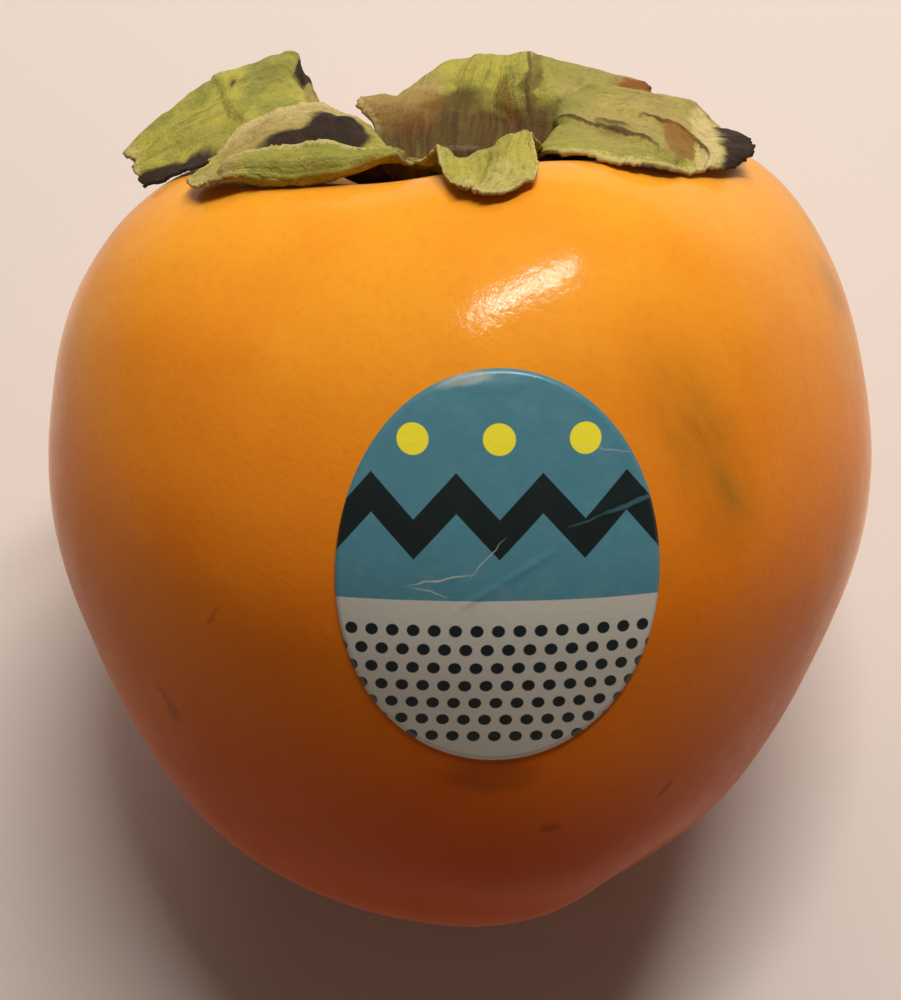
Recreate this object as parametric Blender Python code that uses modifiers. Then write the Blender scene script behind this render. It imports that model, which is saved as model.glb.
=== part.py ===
"""A ripe persimmon lying on its side, with its dried calyx, the stub of its stalk and a paper sticker.

The shape is set out in the fruit's own frame, in millimetres. Z runs along the fruit's axis, from the
pointed tip up to the calyx, and is zero at the widest girth. X points to the right and -Y to the front,
where the sticker is. The pieces are then tilted and set down on the small flat that the fruit rests on.
The middle of that flat is the origin of the finished model.
"""

import math

import bmesh
import bpy
from mathutils import Matrix, Vector, noise

MM = 0.001
COLLECTION = "persimmon"

# Fruit: half of its outline as (radius, height), from the tip round the girth to the middle of the basin
GIRTH_RADIUS = 45.0
OUTLINE = [
    (0.0, -53.2),
    (3.0, -52.6),
    (9.0, -51.2),
    (16.5, -48.2),
    (23.5, -43.8),
    (29.8, -37.8),
    (35.6, -29.0),
    (40.4, -19.0),
    (43.9, -9.0),
    (GIRTH_RADIUS, 0.0),
    (44.1, 9.5),
    (41.6, 18.5),
    (37.0, 26.3),
    (31.0, 31.6),
    (25.0, 33.4),
    (19.5, 32.0),
    (14.0, 29.8),
    (7.0, 28.7),
    (0.0, 28.5),
]
OUTLINE_STEPS = 2
ROUND_STEPS = 60
LOBES = 4
GROOVE_AZIMUTH = math.radians(-28.0)
GIRTH_LOBING = 0.010
SHOULDER_LOBING = 0.026
CROWN_DIP = 0.8
CROWN_SLANT = 1.2
LOW_SIDE_AZIMUTH = math.radians(200.0)
TIP_LOBING = 0.035
LOBING_FADE_RADIUS = 20.0
TIP_GROOVE_AZIMUTH = math.radians(-34.0)
TIP_GROOVE_WIDTH = math.radians(17.0)
TIP_GROOVE_DEPTH = 2.3
TIP_GROOVE_HEIGHT = -44.0
TIP_GROOVE_SPREAD = 6.0

# How the fruit lies: its axis leans up from the table, and its lowest side is pressed flat
AXIS_LEAN = math.radians(25.0)
FLAT_DEPTH = 0.55

# Calyx: a shallow bowl in the basin, from which the lobes grow. Its upper face is given as (radius, height)
BOWL = [(0.0, 30.3), (4.0, 30.3), (9.0, 31.0), (13.0, 32.4), (15.5, 34.0)]
BOWL_THICKNESS = 1.3
BOWL_RIM_THICKNESS = 0.7
BOWL_STEPS = 2
BOWL_ROUND_STEPS = 32
LOBE_THICKNESS = 0.8
LOBE_CLEARANCE = 0.9
LOBE_LENGTH_CELLS = 18
LOBE_WIDTH_CELLS = 10
EDGE_BITE = 0.10
EDGE_NOTCHES = 9.0
TIP_NOTCHES = 4.0
LEAST_NOTCH = 0.2
CRUMPLE = 0.5
CRUMPLE_SCALE = 0.22

# Stalk stub and sticker, each a little clear of what carries it
PIECE_GAP = 0.3
STALK_RADIUS = 2.3
STALK_TOP = 34.6
STALK_CUT_BEVEL = 0.6
STALK_FOOT_RADIUS = 3.0
STALK_FOOT_HEIGHT = 1.8
STALK_STEPS = 20
STICKER_HALF_WIDTH = 15.6
STICKER_HALF_HEIGHT = 20.0
STICKER_AZIMUTH = math.radians(-85.8)
STICKER_HEIGHT = -3.6
STICKER_THICKNESS = 0.4
STICKER_RINGS = 5
STICKER_SPOKES = 32

# The lobes of the calyx, as points on their sheets. A row runs across the lobe from one edge to the other,
# and the rows follow it from the bowl to its tip. BACK stands up behind the stalk, RIGHT is bent like a
# roof, FRONT hangs over the shoulder, and the left sepal is split in a broad flap and a rolled trough.
BACK_LOBE = [
    [(-10, 5, 31.5), (-4, 9, 31), (2, 10.5, 31), (8, 9.5, 31), (13, 6, 32)],
    [(-10, 9, 36), (-3.5, 14, 36), (2.5, 16, 36), (8.5, 14.5, 36), (14.5, 11, 37)],
    [(-12.5, 9, 39), (-3.5, 17, 38.5), (2.5, 19, 39), (8.5, 16.5, 39.5), (17.5, 14, 39)],
    [(-9, 17, 38.5), (-2.5, 20, 41), (3.5, 22, 42), (8.5, 18.5, 41.5), (20.5, 16, 40)],
    [(-6, 23, 39.5), (-1.5, 24.5, 43), (4, 26, 43.5), (9.5, 24, 43.5), (18.5, 21, 42)],
    [(-4, 29, 39), (0, 30, 41), (5, 31, 41.5), (10, 30, 41), (18, 26, 39)],
    [(1, 33, 35), (3, 34, 36), (6, 34.5, 36.5), (9, 34, 36), (13, 31, 35)],
]
RIGHT_LOBE = [
    [(9, 7, 32.5), (10, 2, 32.5), (10, -4, 32.5), (7, -10, 33)],
    [(15, 9, 36), (12.5, 2, 40), (10.5, -8, 37), (8, -18, 34)],
    [(20, 8, 36.5), (16, 0, 41), (14.5, -9, 37), (13.5, -25, 34.5)],
    [(25, 6, 36.5), (20, -1, 40.5), (18.5, -10, 37), (18, -25, 34)],
    [(29, 3, 35.5), (23.5, -3, 40), (22.5, -10, 37), (22.5, -20, 34)],
    [(32.5, -1, 34), (26, -5, 37.5), (26, -10, 36), (25, -16, 34)],
    [(33, -6, 32), (30, -7, 35.5), (30.5, -9, 34), (28.5, -11, 33)],
]
FRONT_LOBE = [
    [(-7, -10, 32.8), (-2, -12, 32), (4, -12, 32), (9, -9, 32.8)],
    [(-5, -17, 34), (0, -18, 34), (4.5, -18, 35), (8, -16, 35.5)],
    [(-2.5, -23, 35.5), (0.5, -23.5, 34.5), (5, -24, 37), (7, -22, 37)],
    [(-2.5, -28, 34.5), (0.5, -29, 33.5), (4.5, -29.5, 35), (7.5, -28.5, 35)],
    [(-2, -31, 33), (0.5, -32, 32.5), (4, -32, 33), (7, -31.5, 33.5)],
    [(-0.5, -33, 32), (1, -33.5, 32), (2.5, -34.5, 31.5), (5.5, -33.5, 32.5)],
]
LEFT_BACK_LOBE = [
    [(-9, -8, 32.5), (-11, -4, 32.5), (-11, 0, 32.5), (-10, 4, 32), (-9, 6, 31.5)],
    [(-14, -10, 35.5), (-14.5, -4, 37), (-15, 1, 38.5), (-15, 6, 38.5), (-13, 10, 33)],
    [(-18, -10, 35.5), (-18, -3, 39), (-18, 4, 43), (-17, 10, 41), (-15.5, 12, 39)],
    [(-22, -10, 35.5), (-21.5, -2, 39.5), (-19.5, 6, 44), (-19, 11, 41), (-18, 13, 38)],
    [(-27, -9, 34.5), (-25.5, -1, 38.5), (-24.5, 6, 42), (-25, 11, 39), (-25, 13, 36.5)],
    [(-30.5, -8, 32), (-30.5, -1, 36), (-29.5, 5, 40), (-31, 9, 36), (-31, 11, 33.5)],
    [(-33.5, -5, 31), (-35.5, -1, 32.5), (-37, 2, 33.5), (-36, 5, 32.5), (-35, 7, 31.5)],
]
LEFT_FRONT_LOBE = [
    [(-6, -18.6, 34.8), (-6, -17.5, 33.5), (-4.5, -13.5, 33.2), (-6, -10, 32.8), (-8.5, -9, 33.2)],
    [(-10, -20.5, 36), (-10.5, -22, 34), (-11, -17, 33.2), (-11.5, -12.5, 36.5), (-12, -13, 39)],
    [(-14.5, -20.5, 36.5), (-14.5, -23, 33.5), (-15, -18, 33.3), (-15.5, -12.5, 37), (-16, -13.5, 39)],
    [(-19, -19.5, 36), (-19.5, -22, 33.5), (-19.5, -17.5, 33.5), (-20, -13, 36.5), (-20.5, -14, 38)],
    [(-23, -19.5, 35), (-23.5, -21, 33.5), (-24, -17, 33), (-24, -13.5, 34.8), (-24.5, -13.5, 36)],
    [(-25.5, -20, 34.4), (-27, -20.5, 33.4), (-28.5, -17, 32.7), (-28.2, -14.5, 33.4), (-27.2, -13, 34.4)],
]
LOBES_OF_CALYX = {
    "back_lobe": BACK_LOBE,
    "right_lobe": RIGHT_LOBE,
    "front_lobe": FRONT_LOBE,
    "left_back_lobe": LEFT_BACK_LOBE,
    "left_front_lobe": LEFT_FRONT_LOBE,
}

# Colours as red, green, blue and alpha, then roughness
ORANGE_SKIN = ((0.83, 0.31, 0.03, 1.0), 0.32)
DRIED_LEAF = ((0.42, 0.40, 0.14, 1.0), 0.75)
WOODY_BROWN = ((0.16, 0.10, 0.05, 1.0), 0.85)
TEAL_PAPER = ((0.08, 0.24, 0.29, 1.0), 0.35)


def clear_scene():
    for obj in list(bpy.data.objects):
        bpy.data.objects.remove(obj, do_unlink=True)


def material(name, finish):
    colour, roughness = finish
    made = bpy.data.materials.new(name)
    made.use_nodes = True
    shader = made.node_tree.nodes["Principled BSDF"]
    shader.inputs["Base Color"].default_value = colour
    shader.inputs["Roughness"].default_value = roughness
    shader.inputs["Metallic"].default_value = 0.0
    made.diffuse_color = colour
    return made


def between(p0, p1, p2, p3, t):
    """The point at t, from 0 to 1, on the smooth curve that runs from p1 to p2 past p0 and p3."""
    return 0.5 * (
        2.0 * p1
        + (p2 - p0) * t
        + (2.0 * p0 - 5.0 * p1 + 4.0 * p2 - p3) * t * t
        + (3.0 * p1 - p0 - 3.0 * p2 + p3) * t * t * t
    )


def smooth_value(values, at):
    """The value at a place along evenly numbered values, from 0 at the first to 1 at the last."""
    spans = len(values) - 1
    place = min(max(at, 0.0), 1.0) * spans
    i = min(int(place), spans - 1)
    before = values[i - 1] if i > 0 else 2.0 * values[0] - values[1]
    after = values[i + 2] if i + 2 <= spans else 2.0 * values[spans] - values[spans - 1]
    return between(before, values[i], values[i + 1], after, place - i)


def outline_points(steps):
    """The fruit's half outline as smooth (radius, height) points, in steps between the given ones."""
    count = (len(OUTLINE) - 1) * steps
    radii = [r for r, _ in OUTLINE]
    heights = [h for _, h in OUTLINE]
    made = []
    for k in range(count + 1):
        made.append((max(smooth_value(radii, k / count), 0.0), smooth_value(heights, k / count)))
    return made


def fade(value, start, end):
    t = min(max((value - start) / (end - start), 0.0), 1.0)
    return t * t * (3.0 - 2.0 * t)


def lobed_radius(radius, height, azimuth):
    """The radius after the four lobes and the groove beside the tip are pressed into a round fruit."""
    upper = fade(height, 0.0, 30.0)
    lower = fade(-height, 5.0, 45.0)
    depth = GIRTH_LOBING + (SHOULDER_LOBING - GIRTH_LOBING) * upper + (TIP_LOBING - GIRTH_LOBING) * lower
    if height > 0.0:
        depth *= min(radius / LOBING_FADE_RADIUS, 1.0)
    lobed = radius * (1.0 - depth * math.cos(LOBES * (azimuth - GROOVE_AZIMUTH)))
    off = math.remainder(azimuth - TIP_GROOVE_AZIMUTH, 2.0 * math.pi) / TIP_GROOVE_WIDTH
    along = (height - TIP_GROOVE_HEIGHT) / TIP_GROOVE_SPREAD
    return max(lobed - TIP_GROOVE_DEPTH * math.exp(-off * off - along * along), 0.0)


def crown_dip(radius, height, azimuth):
    """How far the crown sinks in the grooves between the lobes, and on its low side."""
    grooves = CROWN_DIP * math.cos(LOBES * (azimuth - GROOVE_AZIMUTH))
    slant = CROWN_SLANT * math.cos(azimuth - LOW_SIDE_AZIMUTH)
    return (grooves + slant) * fade(height, 12.0, 30.0) * min(radius / LOBING_FADE_RADIUS, 1.0)


def skin_point(radius, height, azimuth):
    """The point of the lobed skin that a radius and height of the plain outline go to."""
    lobed = lobed_radius(radius, height, azimuth)
    sunk = height - crown_dip(radius, height, azimuth)
    return Vector((lobed * math.cos(azimuth), lobed * math.sin(azimuth), sunk))


SIDE = [(h, r) for r, h in outline_points(8)]


def side_radius(height):
    """The plain radius of the fruit's side at a height between the tip and the shoulder."""
    for (h0, r0), (h1, r1) in zip(SIDE, SIDE[1:]):
        if h0 <= height <= h1:
            return r0 + (r1 - r0) * (height - h0) / (h1 - h0)
    return 0.0


CROWN = [(r, h) for r, h in reversed(outline_points(8)) if h > 0.0]


def crown_outline(radius):
    """The plain outline's height, on the calyx end of the fruit, at a distance from the axis."""
    for (r0, h0), (r1, h1) in zip(CROWN, CROWN[1:]):
        if r0 <= radius <= r1:
            return h0 + (h1 - h0) * (radius - r0) / (r1 - r0)
    return CROWN[0][1] if radius < CROWN[0][0] else 0.0


def crown_height(radius, azimuth):
    """The lobed skin's height, on the calyx end of the fruit, at a distance from the axis."""
    plain = radius
    for _ in range(3):
        shift = lobed_radius(plain, crown_outline(plain), azimuth) - plain
        plain = radius - shift
    height = crown_outline(plain)
    return height - crown_dip(plain, height, azimuth)


def lying_matrix():
    """From the fruit's frame, in millimetres, to the finished model, in metres, before it is set down."""
    return Matrix.Scale(MM, 4) @ Matrix.Rotation(AXIS_LEAN - math.radians(90.0), 4, "X")


def resting_spot(tilted):
    """The lowest point of the lying fruit, moved up by the depth of the flat."""
    low = min(
        (tilted @ skin_point(r, h, math.radians(a)) for r, h in outline_points(8) for a in range(0, 360, 2)),
        key=lambda p: p.z,
    )
    return Vector((0.0, low.y, low.z + FLAT_DEPTH * MM))


TILTED = lying_matrix()
SET_DOWN = Matrix.Translation(-resting_spot(TILTED)) @ TILTED


def add_object(name, mesh, collection, finish=None):
    obj = bpy.data.objects.new(name, mesh)
    collection.objects.link(obj)
    if finish is not None:
        mesh.materials.append(finish)
    return obj


def applied(obj):
    """The object's mesh with its modifiers applied, which are then removed."""
    graph = bpy.context.evaluated_depsgraph_get()
    mesh = bpy.data.meshes.new_from_object(obj.evaluated_get(graph))
    obj.modifiers.clear()
    obj.data = mesh
    return obj


def turned(name, outline, steps, collection):
    """A solid turned about Z from an outline of (radius, height) points that starts and ends on the axis."""
    mesh = bpy.data.meshes.new(name)
    corners = [(r, 0.0, h) for r, h in outline]
    mesh.from_pydata(corners, [(i, i + 1) for i in range(len(corners) - 1)], [])
    obj = add_object(name, mesh, collection)
    screw = obj.modifiers.new("Turn", "SCREW")
    screw.axis = "Z"
    screw.steps = steps
    screw.render_steps = steps
    screw.use_merge_vertices = True
    screw.merge_threshold = 0.0001
    screw.use_normal_calculate = True
    return applied(obj)


def outward(mesh):
    """Merges doubled points, cuts the faces into triangles and turns them to face out."""
    shape = bmesh.new()
    shape.from_mesh(mesh)
    bmesh.ops.remove_doubles(shape, verts=shape.verts, dist=0.0001)
    bmesh.ops.triangulate(shape, faces=shape.faces)
    bmesh.ops.recalc_face_normals(shape, faces=shape.faces)
    shape.to_mesh(mesh)
    shape.free()


def keep_outer_shell(mesh):
    """Fills what a union sealed inside and drops its loose scraps: only the largest closed shell stays."""
    shape = bmesh.new()
    shape.from_mesh(mesh)
    bmesh.ops.triangulate(shape, faces=shape.faces)
    waiting = set(shape.faces)
    shells = []
    while waiting:
        front = [waiting.pop()]
        shell = set(front)
        while front:
            face = front.pop()
            for edge in face.edges:
                for other in edge.link_faces:
                    if other in waiting:
                        waiting.discard(other)
                        shell.add(other)
                        front.append(other)
        shells.append(shell)
    largest = max(shells, key=lambda faces: sum(face.calc_area() for face in faces))
    spare = [face for face in shape.faces if face not in largest]
    bmesh.ops.delete(shape, geom=spare, context="FACES")
    shape.to_mesh(mesh)
    shape.free()


def set_down(obj):
    """Moves a piece's points from the fruit's frame to its place in the finished model."""
    obj.data.transform(SET_DOWN)
    obj.data.shade_smooth()
    obj.data.set_sharp_from_angle(angle=math.radians(50.0))
    return obj


def boolean(obj, operation, **target):
    made = obj.modifiers.new(operation.title(), "BOOLEAN")
    made.operation = operation
    made.solver = "EXACT"
    for key, value in target.items():
        setattr(made, key, value)
    return made


def build_fruit(collection, cutters):
    """The fleshy body: a turned outline, pressed into four lobes, with a flat cut where it rests."""
    obj = turned("fruit", outline_points(OUTLINE_STEPS), ROUND_STEPS, collection)
    outward(obj.data)
    for point in obj.data.vertices:
        radius = math.hypot(point.co.x, point.co.y)
        azimuth = math.atan2(point.co.y, point.co.x)
        point.co = skin_point(radius, point.co.z, azimuth)
    obj.data.materials.append(material("orange_skin", ORANGE_SKIN))
    set_down(obj)
    bpy.ops.mesh.primitive_cube_add(size=2.0 * GIRTH_RADIUS * MM)
    table = bpy.context.object
    table.name = "table_cutter"
    table.location.z = -GIRTH_RADIUS * MM
    table.hide_render = True
    table.display_type = "WIRE"
    for other in list(table.users_collection):
        other.objects.unlink(table)
    cutters.objects.link(table)
    boolean(obj, "DIFFERENCE", object=table)
    return obj


def bowl_outline():
    """Half of the calyx bowl: out along its upper face and back along its underside."""
    count = (len(BOWL) - 1) * BOWL_STEPS
    upper, under = [], []
    for k in range(count + 1):
        share = k / count
        radius = smooth_value([r for r, _ in BOWL], share)
        height = smooth_value([h for _, h in BOWL], share)
        thick = BOWL_THICKNESS + (BOWL_RIM_THICKNESS - BOWL_THICKNESS) * share**3
        upper.append((radius, height))
        under.append((radius, height - thick))
    return upper + under[::-1]


def wobble(point):
    """A smooth push, the same at the same place each time, of up to about one each way."""
    return Vector([noise.noise(point + Vector((31.0 * k, 17.0 * k, 5.0 * k))) for k in range(3)])


def lobe_point(rows, along, across, place):
    """A point of a lobe's sheet. along runs from 0 at the bowl to 1 at the tip, across from edge to edge.

    place is the lobe's own place in the noise that frays its edges, so that no two fray alike.
    """
    side = math.copysign(1.0, across - 0.5)
    notch = noise.noise(place + Vector((EDGE_NOTCHES * along, side, 0.5))) ** 2 + LEAST_NOTCH
    tip_notch = noise.noise(place + Vector((TIP_NOTCHES * across, 7.0, 0.5))) ** 2
    across = 0.5 + (across - 0.5) * (1.0 - EDGE_BITE * notch * fade(along, 0.1, 0.4))
    along *= 1.0 - EDGE_BITE * tip_notch
    point = smooth_value([smooth_value(row, across) for row in rows], along)
    return point + wobble(point * CRUMPLE_SCALE) * CRUMPLE


def off_the_skin(point, clearance):
    """The point, lifted where it would come closer to the fruit's crown than the clearance."""
    radius = math.hypot(point.x, point.y)
    lowest = crown_height(radius, math.atan2(point.y, point.x)) + clearance
    return Vector((point.x, point.y, max(point.z, lowest)))


def build_lobe(name, rows, place, collection):
    """One leathery lobe of the calyx: a sheet laid through its rows of points, and thickened."""
    rows = [[Vector(point) for point in row] for row in rows]
    shape = bmesh.new()
    grid = []
    for k in range(LOBE_LENGTH_CELLS + 1):
        line = []
        for j in range(LOBE_WIDTH_CELLS + 1):
            point = lobe_point(rows, k / LOBE_LENGTH_CELLS, j / LOBE_WIDTH_CELLS, place)
            line.append(shape.verts.new(off_the_skin(point, LOBE_CLEARANCE)))
        grid.append(line)
    for low, high in zip(grid, grid[1:]):
        for j in range(LOBE_WIDTH_CELLS):
            shape.faces.new((low[j], low[j + 1], high[j + 1], high[j]))
    bmesh.ops.triangulate(shape, faces=shape.faces)
    mesh = bpy.data.meshes.new(name)
    shape.to_mesh(mesh)
    shape.free()
    obj = add_object(name, mesh, collection)
    thick = obj.modifiers.new("Thickness", "SOLIDIFY")
    thick.thickness = LOBE_THICKNESS
    thick.offset = 0.0
    thick.use_even_offset = False
    return applied(obj)


def build_calyx(collection):
    """The bowl and its lobes, grown together as one piece."""
    lobes = bpy.data.collections.new("calyx_lobes")
    bpy.context.scene.collection.children.link(lobes)
    calyx = turned("calyx", bowl_outline(), BOWL_ROUND_STEPS, collection)
    outward(calyx.data)
    for k, (name, rows) in enumerate(LOBES_OF_CALYX.items()):
        build_lobe(name, rows, Vector((10.0 * k, 0.0, 0.0)), lobes)
    boolean(calyx, "UNION", operand_type="COLLECTION", collection=lobes, use_self=True)
    applied(calyx)
    keep_outer_shell(calyx.data)
    for obj in list(lobes.objects):
        bpy.data.objects.remove(obj, do_unlink=True)
    bpy.data.collections.remove(lobes)
    calyx.data.materials.append(material("dried_leaf", DRIED_LEAF))
    return set_down(calyx)


def build_stalk(collection):
    """The cut woody stub in the middle of the calyx."""
    foot = BOWL[0][1] + PIECE_GAP
    outline = [
        (0.0, STALK_TOP),
        (STALK_RADIUS - STALK_CUT_BEVEL, STALK_TOP),
        (STALK_RADIUS, STALK_TOP - STALK_CUT_BEVEL),
        (STALK_RADIUS, foot + STALK_FOOT_HEIGHT),
        (STALK_FOOT_RADIUS, foot + 0.5 * STALK_FOOT_HEIGHT),
        (STALK_FOOT_RADIUS, foot),
        (0.0, foot),
    ]
    stalk = turned("stalk", outline, STALK_STEPS, collection)
    outward(stalk.data)
    stalk.data.materials.append(material("woody_brown", WOODY_BROWN))
    return set_down(stalk)


def meridian_height(start, distance):
    """The height reached by walking that distance up the fruit's side from a starting height."""
    step = 0.25
    height = start
    for _ in range(int(abs(distance) / step)):
        slope = (side_radius(height + step) - side_radius(height - step)) / (2.0 * step)
        height += math.copysign(step / math.hypot(1.0, slope), distance)
    return height


def skin_normal(azimuth, height):
    """The direction straight out of the fruit's side."""
    small = 0.01
    here = skin_point(side_radius(height), height, azimuth)
    round_ = skin_point(side_radius(height), height, azimuth + small) - here
    up = skin_point(side_radius(height + small), height + small, azimuth) - here
    return round_.cross(up).normalized()


def build_sticker(collection):
    """The oval paper sticker, laid over the front of the fruit just off its skin."""
    shape = bmesh.new()
    rings = []
    for ring in range(STICKER_RINGS + 1):
        share = ring / STICKER_RINGS
        spokes = STICKER_SPOKES if ring else 1
        row = []
        for spoke in range(spokes):
            turn = 2.0 * math.pi * spoke / spokes
            height = meridian_height(STICKER_HEIGHT, share * STICKER_HALF_HEIGHT * math.sin(turn))
            reach = share * STICKER_HALF_WIDTH * math.cos(turn) / side_radius(height)
            azimuth = STICKER_AZIMUTH + reach
            normal = skin_normal(azimuth, height)
            point = skin_point(side_radius(height), height, azimuth)
            row.append(shape.verts.new(point + normal * (PIECE_GAP + 0.5 * STICKER_THICKNESS)))
        rings.append(row)
    for inner, outer in zip(rings, rings[1:]):
        for k in range(STICKER_SPOKES):
            following = (k + 1) % STICKER_SPOKES
            if len(inner) == 1:
                shape.faces.new((inner[0], outer[k], outer[following]))
            else:
                shape.faces.new((inner[k], outer[k], outer[following], inner[following]))
    bmesh.ops.triangulate(shape, faces=shape.faces)
    mesh = bpy.data.meshes.new("sticker")
    shape.to_mesh(mesh)
    shape.free()
    sticker = add_object("sticker", mesh, collection, material("teal_paper", TEAL_PAPER))
    thick = sticker.modifiers.new("Thickness", "SOLIDIFY")
    thick.thickness = STICKER_THICKNESS
    thick.offset = 0.0
    applied(sticker)
    return set_down(sticker)


def main():
    clear_scene()
    collection = bpy.data.collections.new(COLLECTION)
    cutters = bpy.data.collections.new("cutters")
    for made in (collection, cutters):
        bpy.context.scene.collection.children.link(made)
    build_fruit(collection, cutters)
    build_calyx(collection)
    build_stalk(collection)
    build_sticker(collection)


main()
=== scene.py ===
"""The looks of a ripe persimmon that lies on its side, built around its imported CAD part.

Shapes are set out in the fruit's own frame, in millimetres: Z runs along the fruit's axis from the pointed tip
up to the calyx and is zero at the widest girth, X points right and -Y to the front, where the sticker is.
SET_DOWN moves them to their place in the part, in metres.
"""

import math

import bmesh
import bpy
from bpy.props import FloatProperty, FloatVectorProperty, PointerProperty
from mathutils import Matrix, Vector, noise


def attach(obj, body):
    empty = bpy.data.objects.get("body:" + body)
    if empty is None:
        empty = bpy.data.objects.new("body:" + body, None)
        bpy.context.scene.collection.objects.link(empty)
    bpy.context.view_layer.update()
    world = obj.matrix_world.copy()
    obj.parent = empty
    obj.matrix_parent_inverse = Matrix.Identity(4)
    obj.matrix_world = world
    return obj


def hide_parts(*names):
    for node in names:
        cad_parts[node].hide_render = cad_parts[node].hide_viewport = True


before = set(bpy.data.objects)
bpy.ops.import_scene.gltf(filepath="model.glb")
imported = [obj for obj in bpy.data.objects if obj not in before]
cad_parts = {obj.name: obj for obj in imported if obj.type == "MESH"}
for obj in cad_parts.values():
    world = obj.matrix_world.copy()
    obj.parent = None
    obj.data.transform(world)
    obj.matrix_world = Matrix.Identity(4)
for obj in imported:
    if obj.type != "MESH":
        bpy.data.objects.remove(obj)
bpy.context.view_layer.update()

bl_info = {
    "name": "Persimmon",
    "version": (1, 0, 0),
    "blender": (4, 5, 0),
    "location": "3D View > Sidebar > Persimmon",
    "description": "Builds the finish of a ripe persimmon: skin, dried calyx, stalk and sticker",
    "category": "Object",
}

MM = 0.001
AXIS_LEAN = math.radians(25.0)
MIDDLE_OF_GIRTH = Vector((0.0, 5.524, 44.57))
SET_DOWN = (
    Matrix.Translation(MIDDLE_OF_GIRTH * MM)
    @ Matrix.Scale(MM, 4)
    @ Matrix.Rotation(AXIS_LEAN - math.radians(90.0), 4, "X")
)

# Half of the fruit's outline as (radius, height), from the tip round the girth to the middle of the basin
OUTLINE = [
    (0.0, -53.2), (3.0, -52.6), (9.0, -51.2), (16.5, -48.2), (23.5, -43.8), (29.8, -37.8),
    (35.6, -29.0), (40.4, -19.0), (43.9, -9.0), (45.0, 0.0), (44.1, 9.5), (41.6, 18.5),
    (37.0, 26.3), (31.0, 31.6), (25.0, 33.4), (19.5, 32.0), (14.0, 29.8), (7.0, 28.7),
    (0.0, 28.5),
]
SKIN_STEPS = 9
SKIN_ROUND_STEPS = 320
LOBES = 4
GROOVE_AZIMUTH = math.radians(-28.0)
GIRTH_LOBING = 0.01
SHOULDER_LOBING = 0.026
CROWN_DIP = 0.8
CROWN_SLANT = 1.2
LOW_SIDE_AZIMUTH = math.radians(200.0)
TIP_LOBING = 0.035
LOBING_FADE_RADIUS = 20.0
TIP_GROOVE_AZIMUTH = math.radians(-34.0)
TIP_GROOVE_WIDTH = math.radians(17.0)
TIP_GROOVE_DEPTH = 2.3
TIP_GROOVE_HEIGHT = -44.0
TIP_GROOVE_SPREAD = 6.0

# Calyx: the upper face of its bowl as (radius, height), and the lobes as rows of points across their sheets
BOWL = [(0.0, 30.3), (4.0, 30.3), (9.0, 31.0), (13.0, 32.4), (15.5, 34.0)]
BOWL_THICKNESS = 1.3
BOWL_RIM_THICKNESS = 0.7
BOWL_STEPS = 12
BOWL_ROUND_STEPS = 120
LOBE_CLEARANCE = 0.35
LOBE_LENGTH_CELLS = 96
LOBE_WIDTH_CELLS = 64
EDGE_BITE = 0.1
EDGE_NOTCHES = 9.0
TIP_NOTCHES = 4.0
LEAST_NOTCH = 0.2
FINE_BITE = 0.05
FINE_NOTCHES = 38.0
FINE_TIP_BITE = 0.04
FINE_TIP_NOTCHES = 26.0
VEINS = 5.0
CRUMPLE = 0.5
CRUMPLE_SCALE = 0.22
BACK_LOBE = [
    [(-10, 5, 31.5), (-4, 9, 31), (2, 10.5, 31), (8, 9.5, 31), (13, 6, 32)],
    [(-10, 9, 36), (-3.5, 14, 36), (2.5, 16, 36), (8.5, 14.5, 36), (14.5, 11, 37)],
    [(-12.5, 9, 39), (-3.5, 17, 38.5), (2.5, 19, 39), (8.5, 16.5, 39.5), (18, 13, 39)],
    [(-9, 17, 38.5), (-2.5, 20, 41), (3.5, 22, 42), (8.5, 18.5, 41.5), (22, 14.5, 38.8)],
    [(-6, 23, 39.5), (-1.5, 24.5, 43), (4, 26, 43.5), (9.5, 24, 43.5), (21.8, 19, 40.4)],
    [(-4, 29, 39), (0, 30, 41), (5, 31, 41.5), (10, 30, 41), (18, 26, 39)],
    [(1, 33, 35), (3, 34, 36), (6, 34.5, 36.5), (9, 34, 36), (13, 31, 35)],
]
RIGHT_LOBE = [
    [(9, 7, 32.5), (10, 2, 32.5), (10, -4, 32.5), (7, -10, 33)],
    [(15, 9, 36), (12.5, 2, 40), (10.5, -8, 37), (8, -18, 34.8)],
    [(20, 8, 36.5), (16, 0, 40.2), (14.5, -9, 37), (13.5, -25, 34)],
    [(25, 6, 36.5), (20, -1, 39.6), (18.5, -10, 37), (18, -25, 33.6)],
    [(29, 3, 35.5), (23.5, -3, 38.9), (22.5, -10, 36), (22.5, -20, 32.6)],
    [(30, -2, 34.5), (26, -5, 37), (26, -10, 35), (25, -16, 32.6)],
    [(30, -5, 33.5), (30, -6, 35.5), (31, -9, 34.5), (29, -11, 33)],
]
FRONT_LOBE = [
    [(-7, -10, 32.8), (-2, -12, 32), (4, -12, 32), (9, -9, 32.8)],
    [(-5, -17, 34), (0, -18, 34), (4.5, -18, 35), (8, -16, 35.5)],
    [(-2.5, -23, 35.5), (0.5, -23.5, 34.5), (5, -24, 37), (7, -22, 37)],
    [(-2.5, -28, 34.5), (0.5, -29, 33.5), (4.5, -29.5, 35), (7.5, -28.5, 35)],
    [(-2, -31, 33), (0.5, -32, 32.5), (4, -32, 33), (7, -31.5, 33.5)],
    [(-0.5, -33, 32), (1, -33.5, 32), (2.5, -34.5, 31.5), (5.5, -33.5, 32.5)],
]
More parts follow.
